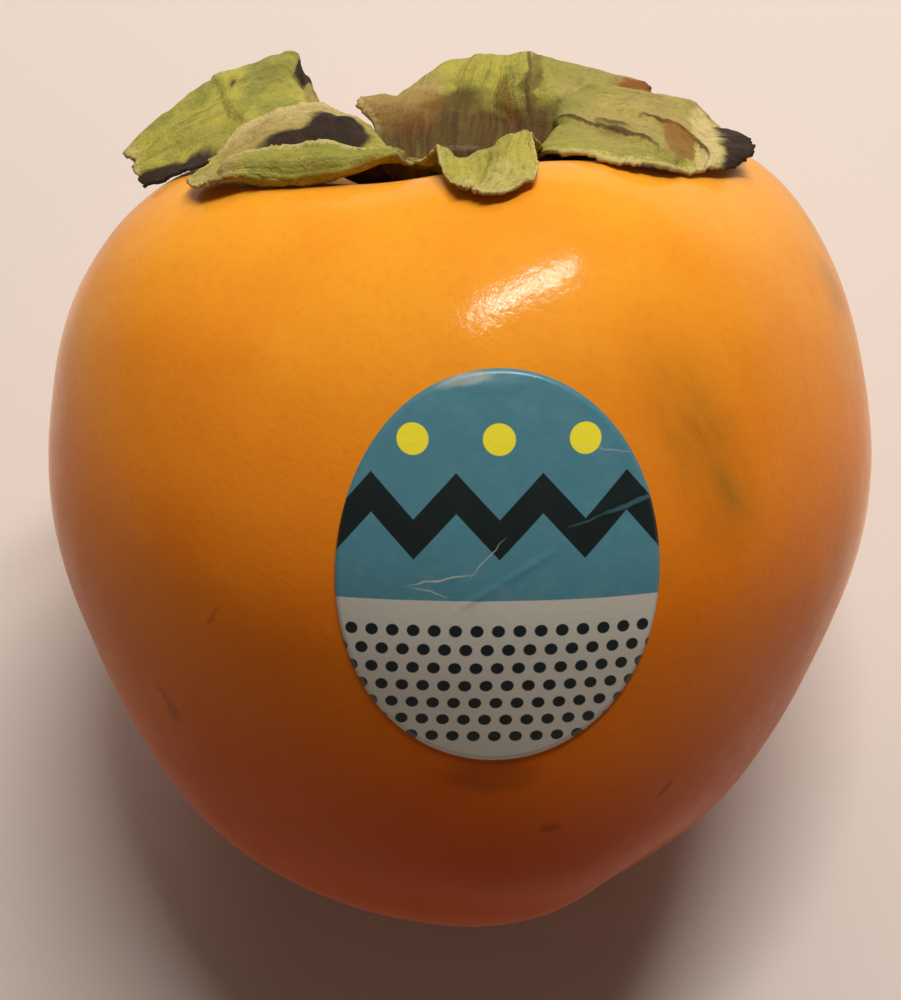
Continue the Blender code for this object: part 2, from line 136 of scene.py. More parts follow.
LEFT_BACK_LOBE = [
    [(-9, -8, 32.5), (-11, -4, 32.5), (-11, 0, 32.5), (-10, 4, 32), (-9, 6, 31.5)],
    [(-14, -10, 35.5), (-15.5, -4, 36.5), (-17, 2, 38.5), (-16.3, 7, 39.4), (-14, 10, 34)],
    [(-18, -10, 35.5), (-18, -3, 39), (-18, 4, 42.5), (-17.5, 10, 41.5), (-17.5, 12, 39.5)],
    [(-22, -10, 35.5), (-21.5, -2, 39.5), (-19, 6, 44), (-19, 11, 41), (-18, 13, 38)],
    [(-27, -10, 31.5), (-25.5, -1, 38.5), (-24.5, 6, 42), (-25, 11, 39), (-25, 13, 36.5)],
    [(-29.5, -9.5, 30.5), (-30.5, -1, 36), (-29.5, 5, 40), (-31, 9, 36), (-31, 11, 33.5)],
    [(-33.5, -5, 30), (-36, -1, 32), (-37, 2, 33.5), (-36, 5, 32.5), (-35, 7, 31.5)],
]
LEFT_FRONT_LOBE = [
    [(-6, -18.6, 34.8), (-6, -17.5, 33.5), (-4.5, -13.5, 33.2), (-6, -10, 32.8), (-8.5, -9, 33.2)],
    [(-8, -20.5, 35.5), (-8, -22, 34.5), (-8, -17, 33.5), (-9.5, -13, 36), (-10.5, -10.5, 37.5)],
    [(-14.5, -20.5, 36.5), (-14.5, -23, 32.6), (-15, -18, 32), (-13.5, -13, 36.5), (-14.5, -9.5, 39)],
    [(-19, -19.5, 36), (-19.5, -22, 32.3), (-19.5, -17.5, 32), (-18, -13, 36.5), (-18.5, -9.5, 38.5)],
    [(-23.5, -19.5, 34.5), (-23.5, -21.5, 32.5), (-24.5, -17, 32.5), (-23, -13, 35), (-23, -10, 37)],
    [(-25.5, -20, 33), (-26.5, -20.5, 31.5), (-28, -17, 31.5), (-27.5, -14.5, 32.5), (-26.5, -13, 34)],
]
LOBES_OF_CALYX = {
    "back_lobe": BACK_LOBE,
    "right_lobe": RIGHT_LOBE,
    "front_lobe": FRONT_LOBE,
    "left_back_lobe": LEFT_BACK_LOBE,
    "left_front_lobe": LEFT_FRONT_LOBE,
}

# Stalk stub and sticker
STALK_RADIUS = 2.3
STALK_TOP = 34.6
STALK_FOOT_RADIUS = 3.0
STALK_FOOT = 30.6
STALK_RINGS = 24
STALK_ROUND_STEPS = 64
STICKER_AZIMUTH = math.radians(-85.8)
STICKER_HEIGHT = -3.6
STICKER_GAP = 0.03
STICKER_RINGS = 36
STICKER_SPOKES = 160

# Camera, at the photograph's place
CAMERA_TARGET = Vector((-1.26, 0.0, -4.57))
CAMERA_ELEVATION = math.radians(76.0)
CAMERA_DISTANCE = 0.27
CAMERA_LENS = 87.05

# Stage: the directions the lamps shine from, the way the long one runs, the colours of their light and of the
# light all round, and half of the floor's width
STRIP_FROM = Vector((0.15, 0.48, 0.86))
STRIP_ALONG = Vector((0.84, 0.3, -0.46))
SOFT_FROM = Vector((0.04, 0.81, 0.58))
LAMP_COLOUR = (1.0, 0.95, 0.9)
FILL_COLOUR = (1.0, 0.78, 0.64)
FLOOR_REACH = 3.0


def colour(name, value, description):
    return FloatVectorProperty(
        name=name, description=description, default=value, subtype="COLOR", size=3, min=0.0, max=1.0
    )


def length(name, value, description):
    return FloatProperty(
        name=name, description=description, default=value, subtype="DISTANCE", unit="LENGTH", min=0.0, precision=5
    )


class SkinSettings(bpy.types.PropertyGroup):
    # The skin deepens from yellow orange at the shoulder to dark red at the tip; this is partly its own colour and
    # partly painted light and shade, lighter at the calyx end and darker at the tip, which lies low and turned
    # from the lamps
    shoulder: colour("Shoulder", (0.82, 0.335, 0.022), "Skin near the calyx, which ripens first")
    cheek: colour("Cheek", (0.78, 0.2, 0.008), "Skin round the girth")
    tip: colour("Tip", (0.6, 0.085, 0.004), "Skin at the pointed end")
    bruise: colour("Bruise", (0.4, 0.145, 0.01), "Soft bruised places")
    rub: colour("Rub", (0.26, 0.14, 0.035), "Places where the wax is rubbed grey")
    scar: colour("Scar", (0.1, 0.028, 0.01), "Small dark scars")
    relief: length("Relief", 0.00016, "Depth of the skin's gentle unevenness")


class CalyxSettings(bpy.types.PropertyGroup):
    green: colour("Green", (0.26, 0.26, 0.045), "Dried leaf that kept its green")
    yellow: colour("Yellow", (0.44, 0.39, 0.06), "Leaf that went yellow")
    tan: colour("Tan", (0.42, 0.31, 0.105), "Dry leaf without its green")
    pale: colour("Pale", (0.6, 0.49, 0.2), "Crisp leaf at the edges")
    rust: colour("Rust", (0.23, 0.078, 0.011), "Leaf that went orange brown")
    brown: colour("Brown", (0.085, 0.042, 0.013), "Rotten and shaded leaf")
    # Black is used for burnt tips, and also as painted shade in the hollow of the left front lobe and inside a
    # curl of the left back lobe
    black_and_painted_shade: colour("Black", (0.036, 0.022, 0.013), "Burnt tips")
    thickness: length("Leaf thickness", 0.0004, "Thickness of the dried leaf")
    wrinkles: length("Wrinkles", 0.0004, "Depth of the wrinkles in the leaf")


class StalkSettings(bpy.types.PropertyGroup):
    bark: colour("Bark", (0.075, 0.045, 0.022), "Bark of the stalk")
    cut: colour("Cut", (0.17, 0.105, 0.05), "The cut end of the stalk")


class StickerSettings(bpy.types.PropertyGroup):
    half_width: length("Half width", 0.0156, "Half of the sticker's width along the skin")
    half_height: length("Half height", 0.02, "Half of the sticker's height along the skin")
    thickness: length("Thickness", 0.00014, "Thickness of the paper")
    field: colour("Field", (0.075, 0.235, 0.3), "The upper field")
    # This colour also paints the shadow along the sticker's crease
    shade: colour("Upper end", (0.04, 0.125, 0.15), "The upper end of the upper field")
    paper: colour("Paper", (0.58, 0.555, 0.49), "The bare lower field")
    dark: colour("Dark motif", (0.008, 0.016, 0.017), "The dark motifs")
    bright: colour("Bright motif", (0.82, 0.72, 0.035), "The bright motifs")


class StageSettings(bpy.types.PropertyGroup):
    floor: colour("Floor", (0.74, 0.67, 0.62), "The pale floor")
    floor_shade: colour("Floor shade", (0.6, 0.52, 0.47), "The floor's faint darker clouds")
    lamp_distance: length("Lamp distance", 0.8, "Distance of both lamps from the fruit")
    strip_power: FloatProperty(
        name="Strip power", description="Power of the long lamp that the gloss shows", default=5.6, unit="POWER"
    )
    strip_length: length("Strip length", 0.44, "Length of the long lamp")
    strip_width: length("Strip width", 0.062, "Width of the long lamp")
    soft_power: FloatProperty(
        name="Soft power", description="Power of the broad soft lamp", default=3.0, unit="POWER"
    )
    soft_size: length("Soft size", 0.62, "Width and height of the broad soft lamp")
    fill: FloatProperty(name="Fill", description="Strength of the light from all round", default=0.1, min=0.0)


class Finish:
    """A material whose nodes are made by short calls. An input is a number, a colour or another node's output."""

    def __init__(self, name):
        self.material = bpy.data.materials.new(name)
        self.material.use_nodes = True
        self.tree = self.material.node_tree
        self.shader = self.tree.nodes["Principled BSDF"]

    def feed(self, socket, value):
        if isinstance(value, bpy.types.NodeSocket):
            self.tree.links.new(value, socket)
        elif socket.type == "RGBA" and len(value) == 3:
            socket.default_value = (*value, 1.0)
        else:
            socket.default_value = value

    def node(self, kind, inputs, output=0, **settings):
        made = self.tree.nodes.new("ShaderNode" + kind)
        for key, value in settings.items():
            setattr(made, key, value)
        for key, value in inputs.items():
            self.feed(made.inputs[key], value)
        return made.outputs[output]

    def fruit_place(self):
        """Where a point is in the fruit's own frame, in millimetres."""
        turn = Matrix.Rotation(math.radians(90.0) - AXIS_LEAN, 3, "X")
        place = self.node("TexCoord", {}, output="Object")
        inputs = {
            "Vector": place,
            "Location": -(turn @ MIDDLE_OF_GIRTH),
            "Rotation": (math.radians(90.0) - AXIS_LEAN, 0.0, 0.0),
            "Scale": (1.0 / MM, 1.0 / MM, 1.0 / MM),
        }
        return self.node("Mapping", inputs, vector_type="POINT")

    def sheet_place(self):
        """Where a point is on a sheet, by its UV map."""
        return self.node("TexCoord", {}, output="UV")

    def part(self, place, axis):
        return self.node("SeparateXYZ", {0: place}, output=axis)

    def calc(self, operation, a, b=0.0, c=0.0):
        return self.node("Math", {0: a, 1: b, 2: c}, operation=operation)

    def ramp(self, value, low, high, out_low=0.0, out_high=1.0):
        """Goes smoothly from out_low to out_high as the value goes from low to high."""
        inputs = {0: value, 1: low, 2: high, 3: out_low, 4: out_high}
        return self.node("MapRange", inputs, interpolation_type="SMOOTHSTEP")

    def mix(self, share, a, b):
        return self.node("Mix", {0: share, 6: a, 7: b}, output=2, data_type="RGBA")

    def laid_over(self, colour, other, mark, share):
        """The colour with another laid over it where the mark is 1, at that share of its strength."""
        return self.mix(self.calc("MULTIPLY", mark, share), colour, other)

    def noise(self, place, scale, detail=2.0, roughness=0.5, distortion=0.0):
        inputs = {"Vector": place, "Scale": scale, "Detail": detail, "Roughness": roughness}
        return self.node("TexNoise", inputs | {"Distortion": distortion}, output=0)

    def stretched(self, place, scale, turn=(0.0, 0.0, 0.0)):
        """The place squeezed by scale along axes that are turned first, for grain that runs one way."""
        turned = self.node("Mapping", {"Vector": place, "Rotation": turn}, vector_type="POINT")
        return self.node("Mapping", {"Vector": turned, "Scale": scale}, vector_type="POINT")

    def patch(self, place, centre, radii, turn=(0.0, 0.0, 0.0), soft=1.0):
        """1 in the middle of a rounded patch and 0 outside it. soft is the share of it that fades."""
        inputs = {"Vector": place, "Location": centre, "Rotation": turn, "Scale": radii}
        own = self.node("Mapping", inputs, vector_type="TEXTURE")
        away = self.node("VectorMath", {0: own}, output="Value", operation="LENGTH")
        return self.ramp(away, 1.0 - soft, 1.0, 1.0, 0.0)

    def warped(self, place, scale, reach, detail=2.0):
        """The place pushed about by noise, so that patches get ragged edges."""
        push = self.node("TexNoise", {"Vector": place, "Scale": scale, "Detail": detail}, output="Color")
        centred = self.node("VectorMath", {0: push, 1: (0.5, 0.5, 0.5)}, operation="SUBTRACT")
        push = self.node("VectorMath", {0: centred, "Scale": reach}, operation="SCALE")
        return self.node("VectorMath", {0: place, 1: push}, operation="ADD")

    def bump(self, height, distance, strength):
        return self.node("Bump", {"Height": height, "Distance": distance, "Strength": strength})

    def put(self, **values):
        """Sets the shader's inputs. Underscores stand for the spaces in their names."""
        for key, value in values.items():
            self.feed(self.shader.inputs[key.replace("_", " ")], value)
        return self.material


def between(p0, p1, p2, p3, t):
    """The point at t, from 0 to 1, on the smooth curve that runs from p1 to p2 past p0 and p3."""
    return 0.5 * (
        2.0 * p1
        + (p2 - p0) * t
        + (2.0 * p0 - 5.0 * p1 + 4.0 * p2 - p3) * t * t
        + (3.0 * p1 - p0 - 3.0 * p2 + p3) * t * t * t
    )


def smooth_value(values, at):
    """The value at a place along evenly numbered values, from 0 at the first to 1 at the last."""
    spans = len(values) - 1
    place = min(max(at, 0.0), 1.0) * spans
    i = min(int(place), spans - 1)
    before = values[i - 1] if i > 0 else 2.0 * values[0] - values[1]
    after = values[i + 2] if i + 2 <= spans else 2.0 * values[spans] - values[spans - 1]
    return between(before, values[i], values[i + 1], after, place - i)


def outline_points(steps):
    """The fruit's half outline as smooth (radius, height) points, in steps between the given ones."""
    count = (len(OUTLINE) - 1) * steps
    radii = [r for r, _ in OUTLINE]
    heights = [h for _, h in OUTLINE]
    made = []
    for k in range(count + 1):
        made.append((max(smooth_value(radii, k / count), 0.0), smooth_value(heights, k / count)))
    return made


def fade(value, start, end):
    t = min(max((value - start) / (end - start), 0.0), 1.0)
    return t * t * (3.0 - 2.0 * t)


def lobed_radius(radius, height, azimuth):
    """The radius after the four lobes and the groove beside the tip are pressed into a round fruit."""
    upper = fade(height, 0.0, 30.0)
    lower = fade(-height, 5.0, 45.0)
    depth = GIRTH_LOBING + (SHOULDER_LOBING - GIRTH_LOBING) * upper + (TIP_LOBING - GIRTH_LOBING) * lower
    if height > 0.0:
        depth *= min(radius / LOBING_FADE_RADIUS, 1.0)
    lobed = radius * (1.0 - depth * math.cos(LOBES * (azimuth - GROOVE_AZIMUTH)))
    off = math.remainder(azimuth - TIP_GROOVE_AZIMUTH, math.tau) / TIP_GROOVE_WIDTH
    along = (height - TIP_GROOVE_HEIGHT) / TIP_GROOVE_SPREAD
    return max(lobed - TIP_GROOVE_DEPTH * math.exp(-off * off - along * along), 0.0)


def crown_dip(radius, height, azimuth):
    """How far the crown sinks in the grooves between the lobes, and on its low side."""
    grooves = CROWN_DIP * math.cos(LOBES * (azimuth - GROOVE_AZIMUTH))
    slant = CROWN_SLANT * math.cos(azimuth - LOW_SIDE_AZIMUTH)
    return (grooves + slant) * fade(height, 12.0, 30.0) * min(radius / LOBING_FADE_RADIUS, 1.0)


def around(count):
    """Evenly spread azimuths all round."""
    return [math.tau * k / count for k in range(count)]


def ring_point(radius, azimuth, height):
    return Vector((radius * math.cos(azimuth), radius * math.sin(azimuth), height))


def skin_point(radius, height, azimuth):
    """The point of the lobed skin that a radius and height of the plain outline go to."""
    lobed = lobed_radius(radius, height, azimuth)
    sunk = height - crown_dip(radius, height, azimuth)
    return ring_point(lobed, azimuth, sunk)


SIDE = [(h, r) for r, h in outline_points(8)]
CROWN = [(r, h) for r, h in reversed(outline_points(8)) if h > 0.0]


def read_off(pairs, at):
    """The second value of the pairs where their first one is at, on straight lines between them, or else 0."""
    for (a0, b0), (a1, b1) in zip(pairs, pairs[1:]):
        if a0 <= at <= a1:
            return b0 + (b1 - b0) * (at - a0) / (a1 - a0)
    return 0.0


def side_radius(height):
    """The plain radius of the fruit's side at a height between the tip and the shoulder."""
    return read_off(SIDE, height)


def crown_outline(radius):
    """The plain outline's height, on the calyx end of the fruit, at a distance from the axis."""
    return CROWN[0][1] if radius < CROWN[0][0] else read_off(CROWN, radius)


def crown_height(radius, azimuth):
    """The lobed skin's height, on the calyx end of the fruit, at a distance from the axis."""
    plain = radius
    for _ in range(3):
        shift = lobed_radius(plain, crown_outline(plain), azimuth) - plain
        plain = radius - shift
    height = crown_outline(plain)
    return height - crown_dip(plain, height, azimuth)


def uneven(point):
    """The skin's gentle unevenness at a point, from about -1 to 1."""
    broad = noise.noise(point * 0.07)
    middling = noise.noise(point * 0.19 + Vector((7.0, 0.0, 0.0)))
    return 0.65 * broad + 0.35 * middling


def linked(name, data):
    """A new object of that data, in the scene."""
    made = bpy.data.objects.new(name, data)
    bpy.context.scene.collection.objects.link(made)
    return made


def add_piece(name, mesh, node, finish):
    """Links a finished mesh, in the fruit's frame, as a piece that stands for a CAD node."""
    mesh.transform(SET_DOWN)
    mesh.shade_smooth()
    mesh.materials.clear()
    mesh.materials.append(finish)
    piece = linked(name, mesh)
    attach(piece, "root")
    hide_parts(node)
    return piece


def mesh_from(shape, name):
    mesh = bpy.data.meshes.new(name)
    shape.to_mesh(mesh)
    shape.free()
    return mesh


def turned_mesh(name, rows):
    """A closed skin over rings of points, whose first and last rings are single points."""
    shape = bmesh.new()
    rings = [[shape.verts.new(point) for point in row] for row in rows]
    for low, high in zip(rings, rings[1:]):
        count = max(len(low), len(high))
        for k in range(count):
            after = (k + 1) % count
            if len(low) == 1:
                shape.faces.new((low[0], high[after], high[k]))
            elif len(high) == 1:
                shape.faces.new((low[k], low[after], high[0]))
            else:
                shape.faces.new((low[k], low[after], high[after], high[k]))
    bmesh.ops.recalc_face_normals(shape, faces=shape.faces)
    return mesh_from(shape, name)


def thickened(mesh, thickness, offset):
    """The sheet's mesh after a Solidify modifier of that thickness."""
    carrier = linked(mesh.name, mesh)
    thick = carrier.modifiers.new("Thickness", "SOLIDIFY")
    thick.thickness = thickness
    thick.offset = offset
    thick.use_even_offset = False
    graph = bpy.context.evaluated_depsgraph_get()
    made = bpy.data.meshes.new_from_object(carrier.evaluated_get(graph))
    bpy.data.objects.remove(carrier)
    return made


# Marks on the skin, each with its middle and radii in millimetres, its turn in degrees and its share: broad ones
# with the colour they take, and small scars
RUBS = [
    ("bruise", (22.5, -37.5, 8.0), (16.0, 9.0, 6.5), 62.0, 0.9),
    ("rub", (25.5, -36.0, 3.0), (6.0, 8.0, 2.2), 65.0, 0.28),
    ("bruise", (38.5, -18.0, -4.0), (12.0, 9.0, 5.0), 75.0, 0.35),
    ("rub", (39.3, -10.0, 20.0), (6.0, 7.0, 2.6), 61.0, 0.5),
]
SCARS = [
    ((-24.8, -36.5, -9.0), (1.7, 4.0, 0.4), -50.0, 0.28),
    ((9.0, -33.0, -31.0), (1.2, 4.0, 1.0), 0.0, 0.4),
    ((2.4, -38.0, -24.6), (6.0, 4.0, 2.8), 0.0, 0.34),
    ((-29.8, -25.9, -21.0), (3.0, 5.0, 0.9), 58.0, 0.3),
    ((20.6, -29.6, -28.5), (1.6, 4.0, 0.5), -60.0, 0.45),
]


def skin_finish(settings):
    """Waxy orange skin: blended ripening, faint freckles, bruises, rubs and scars, and gloss over a fine grain."""
    f = Finish("waxy_orange_skin")
    place = f.fruit_place()
    loose = f.warped(place, 0.05, 14.0)
    height = f.part(loose, "Z")
    # Shoulder to cheek to tip: partly the skin's own colour, partly painted shade that deepens towards the tip
    colour = f.mix(f.ramp(height, -12.0, 32.0), settings.cheek, settings.shoulder)
    colour = f.mix(f.ramp(height, -4.0, -44.0), colour, settings.tip)
    blotch = f.noise(place, 0.045, 3.0, 0.55)
    colour = f.mix(f.ramp(blotch, 0.38, 0.72, 0.0, 0.22), colour, settings.tip)
    freckle = f.noise(place, 0.9, 3.0, 0.6)
    colour = f.mix(f.ramp(freckle, 0.45, 0.75, 0.0, 0.12), colour, settings.tip)
    ragged = f.warped(place, 0.18, 3.0)
    grain = f.noise(f.stretched(place, (0.5, 0.5, 0.12), (0.0, 0.5, 0.0)), 1.0, 4.0, 0.6)
    grain = f.ramp(grain, 0.35, 0.65, 0.6, 1.0)
    for kind, centre, radii, turn, share in RUBS:
        mark = f.patch(ragged, centre, radii, (0.0, math.radians(turn), 0.0))
        colour = f.laid_over(colour, getattr(settings, kind), f.calc("MULTIPLY", mark, share), grain)
    for centre, radii, turn, share in SCARS:
        mark = f.patch(ragged, centre, radii, (0.0, math.radians(turn), 0.0), 0.6)
        colour = f.laid_over(colour, settings.scar, mark, share)
    scratch = f.noise(f.stretched(place, (1.0, 1.0, 0.22), (0.0, math.radians(50.0), 0.0)), 1.5, 5.0, 0.65)
    pores = f.noise(place, 2.6, 3.0, 0.55)
    crinkle = f.noise(place, 0.75, 3.0, 0.6)
    fine = f.calc("ADD", f.calc("MULTIPLY", scratch, 0.5), f.calc("MULTIPLY", pores, 0.3))
    fine = f.calc("ADD", fine, f.calc("MULTIPLY", crinkle, 0.8))
    normal = f.bump(fine, 0.0001, 0.5)
    return f.put(
        Base_Color=colour,
        Roughness=f.ramp(f.noise(place, 0.35, 4.0, 0.6), 0.3, 0.7, 0.42, 0.55),
        Normal=normal,
        Specular_IOR_Level=0.03,
        Coat_Weight=f.ramp(height, -24.0, 12.0, 0.12, 0.34),
        Coat_Roughness=0.11,
        Coat_Normal=normal,
        Sheen_Weight=0.4,
        Sheen_Roughness=0.22,
        Sheen_Tint=(1.0, 0.72, 0.55),
        Subsurface_Weight=0.15,
        Subsurface_Radius=(1.0, 0.3, 0.06),
        Subsurface_Scale=0.003,
    )


class PERSIMMON_OT_skin(bpy.types.Operator):
    """Lays the fine waxy skin over the fruit"""

    bl_idname = "persimmon.skin"
    bl_label = "Skin"

    def execute(self, context):
        settings = context.scene.persimmon_skin
        depth = settings.relief / MM
        rows = []
        for radius, height in outline_points(SKIN_STEPS):
            row = []
            for azimuth in around(SKIN_ROUND_STEPS if radius > 0.0 else 1):
                point = skin_point(radius, height, azimuth)
                row.append(point * (1.0 + depth * uneven(point) / point.length))
            rows.append(row)
        mesh = turned_mesh("skin", rows)
        piece = add_piece("skin", mesh, "fruit", skin_finish(settings))
        for point in piece.data.vertices:
            point.co.z = max(point.co.z, 0.0)
        return {"FINISHED"}


def wobble(point):
    """A smooth push, the same at the same place each time, of up to about one each way."""
    return Vector([noise.noise(point + Vector((31.0 * k, 17.0 * k, 5.0 * k))) for k in range(3)])


def lobe_point(rows, along, across, place):
    """A point of a lobe's sheet. along runs from 0 at the bowl to 1 at the tip, across from edge to edge.

    place is the lobe's own place in the noise that frays its edges, so that no two fray alike.
    """
    side = math.copysign(1.0, across - 0.5)
    notch = noise.noise(place + Vector((EDGE_NOTCHES * along, side, 0.5))) ** 2 + LEAST_NOTCH
    tip_notch = noise.noise(place + Vector((TIP_NOTCHES * across, 7.0, 0.5))) ** 2
    across = 0.5 + (across - 0.5) * (1.0 - EDGE_BITE * notch * fade(along, 0.1, 0.4))
    along *= 1.0 - EDGE_BITE * tip_notch
    point = smooth_value([smooth_value(row, across) for row in rows], along)
    return point + wobble(point * CRUMPLE_SCALE) * CRUMPLE


def frayed(along, across, place):
    """The place on a sheet after its edges are frayed more finely than the solid's are."""
    side = math.copysign(1.0, across - 0.5)
    nick = abs(noise.noise(place + Vector((FINE_NOTCHES * along, side, 3.0))))
    tip_nick = abs(noise.noise(place + Vector((FINE_TIP_NOTCHES * across, 11.0, 3.0))))
    out = abs(across - 0.5) * 2.0
    across = 0.5 + (across - 0.5) * (1.0 - FINE_BITE * nick * fade(out, 0.7, 1.0) * fade(along, 0.1, 0.3))
    return along - FINE_TIP_BITE * tip_nick * fade(along, 0.7, 1.0), across


def wrinkle(point, along, across, place):
    """How far a leaf's sheet is pushed up or down by its wrinkles and veins, from about -1 to 1."""
    ridge = 1.0 - 2.0 * abs(noise.noise(point * 0.33 + place))
    fine = 1.0 - 2.0 * abs(noise.noise(point * 0.9 + place))
    vein = math.cos(math.tau * VEINS * (across - 0.5) * (1.0 - 0.35 * along))
    return 0.5 * ridge + 0.35 * fine + 0.25 * vein


def off_the_skin(point, clearance):
    """The point, lifted where it would come closer to the fruit's crown than the clearance."""
    radius = math.hypot(point.x, point.y)
    lowest = crown_height(radius, math.atan2(point.y, point.x)) + clearance
    return Vector((point.x, point.y, max(point.z, lowest)))


# Folds and cracks of each lobe: a line of (across, along) points, how far the leaf falls away on its right and
# on its left as shares of the lobe, the height of the fold, and how dark its crack is
CRACK_WIDTH = 0.01
FOLDS = {
    "back_lobe": [
        ([(0.72, 0.12), (0.74, 0.45), (0.7, 0.75)], 0.03, 0.14, 0.25, 0.7),
        ([(0.33, 0.2), (0.36, 0.55), (0.42, 0.8)], 0.1, 0.03, 0.3, 0.3),
        ([(0.55, 0.2), (0.56, 0.6)], 0.05, 0.05, -0.3, 0.4),
    ],
    "right_lobe": [
        ([(0.66, 0.17), (0.76, 0.34), (0.88, 0.54)], 0.02, 0.3, 0.9, 0.9),
        ([(0.74, 0.34), (0.8, 0.44)], 0.02, 0.05, 0.4, 0.7),
        ([(0.64, 0.52), (0.68, 0.65), (0.71, 0.74), (0.9, 0.8)], 0.02, 0.22, 0.9, 0.9),
        ([(0.36, 0.3), (0.3, 0.75)], 0.05, 0.12, 0.4, 0.0),
    ],
    "front_lobe": [([(0.45, 0.45), (0.4, 0.95)], 0.07, 0.07, -0.5, 0.2)],
    "left_back_lobe": [
        ([(0.48, 0.75), (0.3, 0.68), (0.1, 0.52)], 0.03, 0.22, 0.4, 0.12),
        ([(0.3, 0.35), (0.25, 0.6)], 0.06, 0.06, -0.3, 0.1),
    ],
    "left_front_lobe": [
        ([(0.14, 0.25), (0.1, 0.85)], 0.05, 0.1, 0.4, 0.2),
        ([(0.86, 0.3), (0.88, 0.7)], 0.06, 0.1, 0.4, 0.2),
    ],
}


def upward(normal):
    """1 where a sheet's normal points up, and -1 where it points down."""
    return math.copysign(1.0, normal.z)


def off_line(spot, start, end):
    """How far a spot is from the line between two ends, and a number above 0 if it lies on its left."""
    dx, dy = end[0] - start[0], end[1] - start[1]
    x, y = spot[0] - start[0], spot[1] - start[1]
    t = min(max((x * dx + y * dy) / (dx * dx + dy * dy), 0.0), 1.0)
    return math.hypot(x - t * dx, y - t * dy), dx * y - dy * x


def fold_push(spot, folds):
    """How far a lobe's folds push its sheet up at a spot of it."""
    push = 0.0
    for line, right, left, rise, _ in folds:
        away, side = min(off_line(spot, start, end) for start, end in zip(line, line[1:]))
        push += rise * (1.0 - fade(away, 0.0, left if side > 0.0 else right))
    return push


def lobe_sheet(name, rows, place, depth):
    """A lobe's sheet with its wrinkles, and a UV map of across and along."""
    rows = [[Vector(point) for point in row] for row in rows]
    shape = bmesh.new()
    uv = shape.loops.layers.uv.new("sheet")
    grid, spots = [], {}
    for k in range(LOBE_LENGTH_CELLS + 1):
        line = []
        for j in range(LOBE_WIDTH_CELLS + 1):
            spot = (j / LOBE_WIDTH_CELLS, k / LOBE_LENGTH_CELLS)
            along, across = frayed(spot[1], spot[0], place)
            vert = shape.verts.new(off_the_skin(lobe_point(rows, along, across, place), LOBE_CLEARANCE))
            spots[vert] = spot
            line.append(vert)
        grid.append(line)
    for low, high in zip(grid, grid[1:]):
        for j in range(LOBE_WIDTH_CELLS):
            face = shape.faces.new((low[j], low[j + 1], high[j + 1], high[j]))
            for loop in face.loops:
                loop[uv].uv = spots[loop.vert]
    shape.normal_update()
    pushed = []
    for vert, (across, along) in spots.items():
        push = depth * wrinkle(vert.co, along, across, place) * fade(along, 0.0, 0.2)
        push += upward(vert.normal) * fold_push((across, along), FOLDS[name])
        pushed.append((vert, off_the_skin(vert.co + vert.normal * push, 0.5 * LOBE_CLEARANCE)))
    for vert, co in pushed:
        vert.co = co
    return mesh_from(shape, name)


